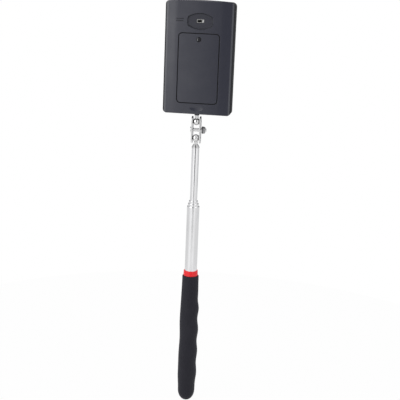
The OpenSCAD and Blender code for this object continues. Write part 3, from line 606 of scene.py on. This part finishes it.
# Coin cells: a pressed steel can with a smaller cap, and a dark plastic gasket crimped between them.
# Both faces are brushed in circles. The two cells lie opposite ways up.
gasket_from = 0.00845
gasket_to = 0.00895
gasket_fade = 0.00005
cap_from = 0.0008
cap_to = 0.0010
ring_width = 0.00012
ring_depth = 0.000003
cell_edge = 0.00012
cell_bright = (0.66, 0.66, 0.65, 1)
cell_dull = (0.58, 0.58, 0.57, 1)
gasket_black = grey(0.03)
for cell_name, cap_side in (("upper_cell", 1), ("lower_cell", -1)):
    low, high = (Vector(corner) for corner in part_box(cell_name))
    cell_steel, base, place, shader = new_finish("cell_steel_" + cell_name, Metallic=1.0)
    from_middle = place.vector("SUBTRACT", place, (low + high) / 2)
    across = from_middle.vector("MULTIPLY", from_middle, (1, 0, 1))
    out = across.vector("LENGTH", across, out="Value")
    rings = speckle(base, base.node("ShaderNodeCombineXYZ", {}, {"X": out}), ring_width)
    gasket = out.between(gasket_from - gasket_fade, gasket_from)
    gasket = gasket * (1 - out.between(gasket_to, gasket_to + gasket_fade))
    gasket = gasket * from_middle.dot((0, cap_side, 0)).between(cap_from, cap_to)
    feed(
        shader,
        Base_Color=gasket.mix(rings.mix(cell_bright, cell_dull), gasket_black),
        Metallic=1 - gasket,
        Roughness=0.20 + 0.12 * rings + 0.25 * gasket,
        Normal=relief(base, rings, ring_depth, cell_edge))
    dress(cell_steel, cell_name)

# Circuit board: glass fibre under green lacquer, cut from sheet, with copper tracks that show through
# as a lighter green. It lies on two posts of the back shell.
weave_size = 0.0012
track_scale = 180.0
track_depth = 0.00003
lacquer_deep = (0.012, 0.115, 0.045, 1)
lacquer_pale = (0.020, 0.160, 0.065, 1)
track_green = (0.05, 0.27, 0.10, 1)
board_lacquer, base, place, shader = new_finish("board_lacquer", IOR=1.52)
weave = speckle(base, place, weave_size, 3.0)
laid_flat = base.node("ShaderNodeMapping", {}, {"Vector": place, "Rotation": (math.pi / 2, 0, 0)})
track_sockets = {"Vector": laid_flat, "Scale": track_scale, "Mortar Size": 0.07}
tracks = base.node("ShaderNodeTexBrick", {"offset": 0.5}, track_sockets, "Fac")
feed(
    shader,
    Base_Color=tracks.mix(weave.mix(lacquer_deep, lacquer_pale), track_green),
    Roughness=0.3 + 0.15 * weave,
    Normal=relief(base, tracks, track_depth))
dress(board_lacquer, "circuit_board")

# Lamps: clear cast resin with a flange that lies on the board, and a domed end in the front frame.
# In each the chip lies in a small steel cup on one post, filled with pale phosphor, beside a second post.
swirl_size = 0.002
resin_clear = (0.95, 0.97, 1.0, 1)
resin_faint = (0.88, 0.92, 0.97, 1)
clear_resin, base, place, shader = new_finish("clear_resin", Transmission_Weight=1.0, IOR=1.53)
swirl = speckle(base, place, swirl_size)
feed(
    shader,
    Base_Color=swirl.mix(resin_clear, resin_faint),
    Roughness=0.03 + 0.04 * swirl)
dress(clear_resin, "left_led", "right_led")
stamped_size = 0.0004
stamped_depth = 0.000006
cup_bright = (0.74, 0.73, 0.70, 1)
cup_dull = (0.60, 0.59, 0.56, 1)
lamp_steel, base, place, shader = new_finish("lamp_steel", Metallic=1.0)
stamped = speckle(base, place, stamped_size, 3.0)
feed(
    shader,
    Base_Color=stamped.mix(cup_bright, cup_dull),
    Roughness=0.18 + 0.2 * stamped,
    Normal=relief(base, stamped, stamped_depth))
settled_size = 0.0002
settled_depth = 0.00001
phosphor_deep = (0.86, 0.72, 0.20, 1)
phosphor_pale = (0.92, 0.82, 0.36, 1)
phosphor, base, place, shader = new_finish("phosphor", IOR=1.45)
settled = speckle(base, place, settled_size, 3.0)
feed(
    shader,
    Base_Color=settled.mix(phosphor_deep, phosphor_pale),
    Roughness=0.5 + 0.2 * settled,
    Normal=relief(base, settled, settled_depth))
turn_sides = 32


def closed_faces(rings, sides):
    """Faces that join rings of points, each to the next along Y, and close both ends."""
    faces = [
        (ring * sides + k, (ring + 1) * sides + k,
         (ring + 1) * sides + (k + 1) % sides, ring * sides + (k + 1) % sides)
        for ring in range(rings - 1) for k in range(sides)]
    faces.append(tuple(range(sides)))
    faces.append(tuple(reversed(range((rings - 1) * sides, rings * sides))))
    return faces


def turned(outline, middle):
    """Points and faces round a line along Y through middle, from (radius, height) pairs."""
    points = [
        (middle.x + r * math.cos(math.tau * k / turn_sides), middle.y + y,
         middle.z + r * math.sin(math.tau * k / turn_sides))
        for r, y in outline for k in range(turn_sides)]
    return points, closed_faces(len(outline), turn_sides)


cup_outline = [
    (0.00022, 0.0002), (0.00022, 0.0020), (0.00030, 0.0021), (0.00095, 0.0027), (0.00100, 0.0029),
    (0.00088, 0.0029), (0.00080, 0.0027)]
fill_outline = [(0.00080, 0.0027), (0.00083, 0.0028), (0.00060, 0.00288), (0.00025, 0.0029)]
post_outline = [
    (0.00022, 0.0002), (0.00022, 0.0024), (0.00034, 0.0025), (0.00034, 0.0031), (0.00020, 0.0032)]
post_aside = Vector((0.00155, 0, 0))
for side in ("left", "right"):
    low, high = (Vector(corner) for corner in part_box(side + "_led"))
    foot = Vector(((low.x + high.x) / 2, low.y, (low.z + high.z) / 2))
    for lamp_part, outline, middle, finish in (
            ("cup", cup_outline, foot, lamp_steel),
            ("phosphor", fill_outline, foot, phosphor),
            ("post", post_outline, foot + post_aside, lamp_steel)):
        piece_name = "_".join((side, "lamp", lamp_part))
        new_piece(piece_name, *turned(outline, middle), finish, "head", None, "steel")

# Mirror: 2 mm float glass silvered on its back, held behind the frame's lip.
# A pad of black foam behind it keeps it from rattling.
haze_size = 0.02
silver_clear = (0.90, 0.92, 0.92, 1)
silver_hazed = (0.86, 0.89, 0.89, 1)
silvering, base, place, shader = new_finish("silvered_glass", Metallic=1.0)
haze = speckle(base, place, haze_size, 5.0).between(0.45, 0.8)
feed(
    shader,
    Base_Color=haze.mix(silver_clear, silver_hazed),
    Roughness=0.015 + 0.03 * haze)
dress(silvering, "mirror_glass")
bubble_size = 0.0005
bubble_depth = 0.0002
foam_black = grey(0.010, 0.001)
foam_pale = grey(0.035, 0.001)
foam, base, place, shader = new_finish("black_foam", IOR=1.4)
bubbles = base.node("ShaderNodeTexVoronoi", {}, {"Vector": place, "Scale": 1 / bubble_size}, "Distance")
feed(
    shader,
    Base_Color=bubbles.mix(foam_black, foam_pale),
    Roughness=0.8 + 0.15 * bubbles,
    Normal=relief(base, bubbles, bubble_depth))
pad_corner = 0.0025
pad_corner_steps = 8
pad_levels = 7
pad_tuck = 0.00035
low, high = (Vector(corner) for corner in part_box("mirror_pad"))
pad_middle_z = (low.z + high.z) / 2
pad_points = []
for level in range(pad_levels):
    share = level / (pad_levels - 1)
    reach = pad_corner - pad_tuck * (2 * share - 1) ** 2
    pad_y = low.y + (high.y - low.y) * share
    for corner_x, corner_z, quarter in (
            (high.x, high.z, 0), (low.x, high.z, 1), (low.x, low.z, 2), (high.x, low.z, 3)):
        outside = Vector((math.copysign(1, corner_x), 0, math.copysign(1, corner_z - pad_middle_z)))
        round_middle = Vector((corner_x, pad_y, corner_z)) - outside * pad_corner
        for step in range(pad_corner_steps + 1):
            angle = math.pi / 2 * (quarter + step / pad_corner_steps)
            pad_points.append(round_middle + Vector((reach * math.cos(angle), 0, reach * math.sin(angle))))
pad_faces = closed_faces(pad_levels, 4 * (pad_corner_steps + 1))
pad = new_piece("foam_pad", pad_points, pad_faces, foam, "head", "mirror_pad", "foam")
